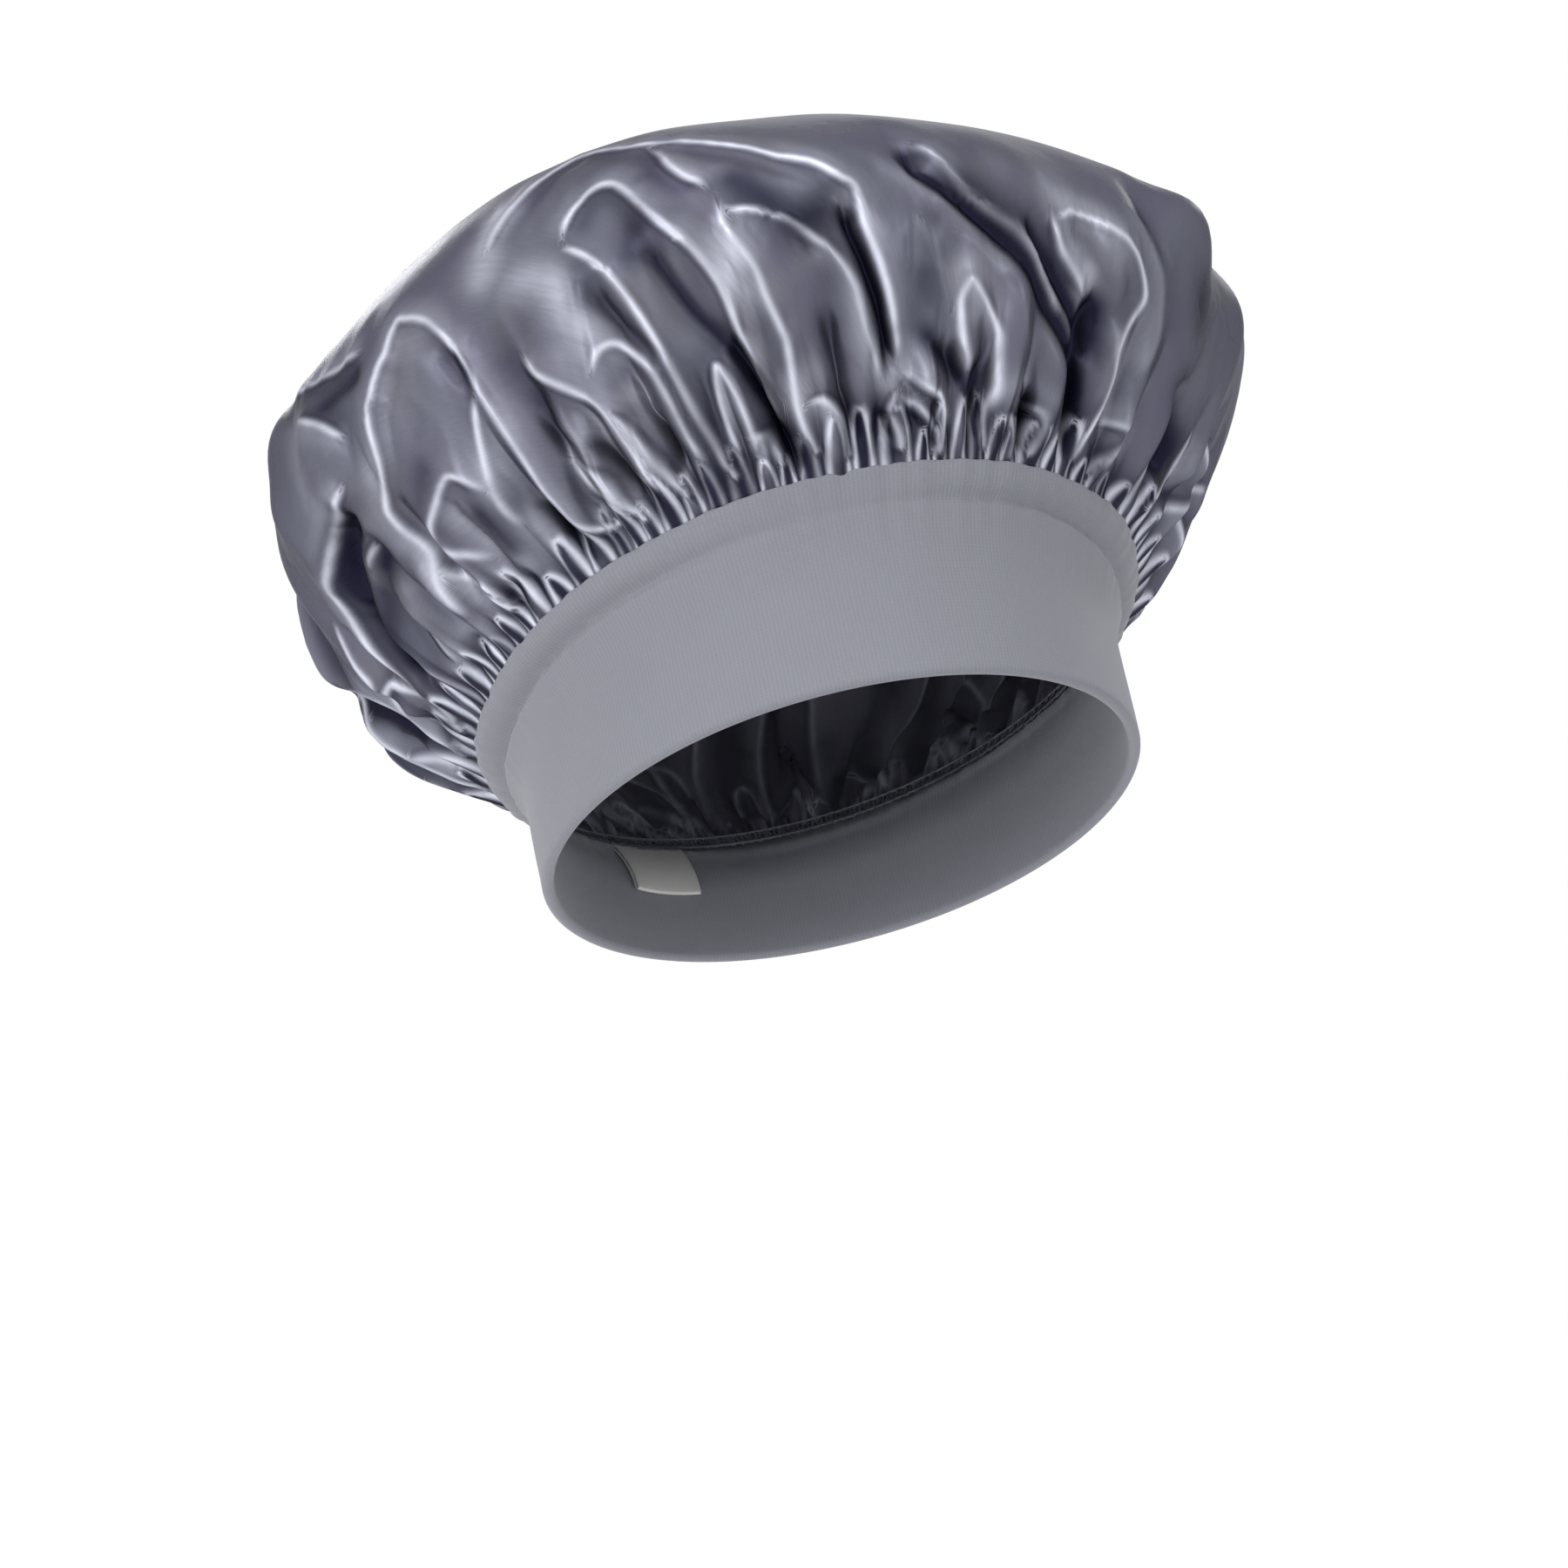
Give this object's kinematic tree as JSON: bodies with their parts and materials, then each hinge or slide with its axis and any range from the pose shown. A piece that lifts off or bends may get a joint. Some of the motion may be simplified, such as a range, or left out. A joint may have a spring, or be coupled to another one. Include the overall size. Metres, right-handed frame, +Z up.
{
  "type": "hair bonnet",
  "caption": "Puffy gathered satin hair bonnet with a satin lining and a wide knit band round the head opening.",
  "frame": {"origin": "middle of the head opening, in the plane of the band's lower edge", "axes": "+Z up on an upright head, the brow towards -Y, +X the wearer's left; the opening is tilted 24 degrees, brow up"},
  "size_m": [0.2975, 0.2767, 0.2442],
  "materials": {
    "crown_satin": "glossy slate grey polyester satin with a violet-blue cast",
    "lining_satin": "glossy slate grey polyester satin, inner layer",
    "band_knit": "matte light grey stretch jersey with a fine vertical rib",
    "woven_elastic": "white woven flat elastic",
    "sewing_thread": "grey polyester thread",
    "label_tape": "plain white satin tape, blank"
  },
  "bodies": {
    "root": {"crown_shell": "crown_satin", "crown_lining": "lining_satin", "band_casing": "band_knit", "band_elastic": "woven_elastic", "elastic_join_stitch": "sewing_thread", "band_back_seam": "sewing_thread", "gathering_thread": "sewing_thread", "overlock_thread": "sewing_thread", "care_label": "label_tape"}
  },
  "joints": []
}
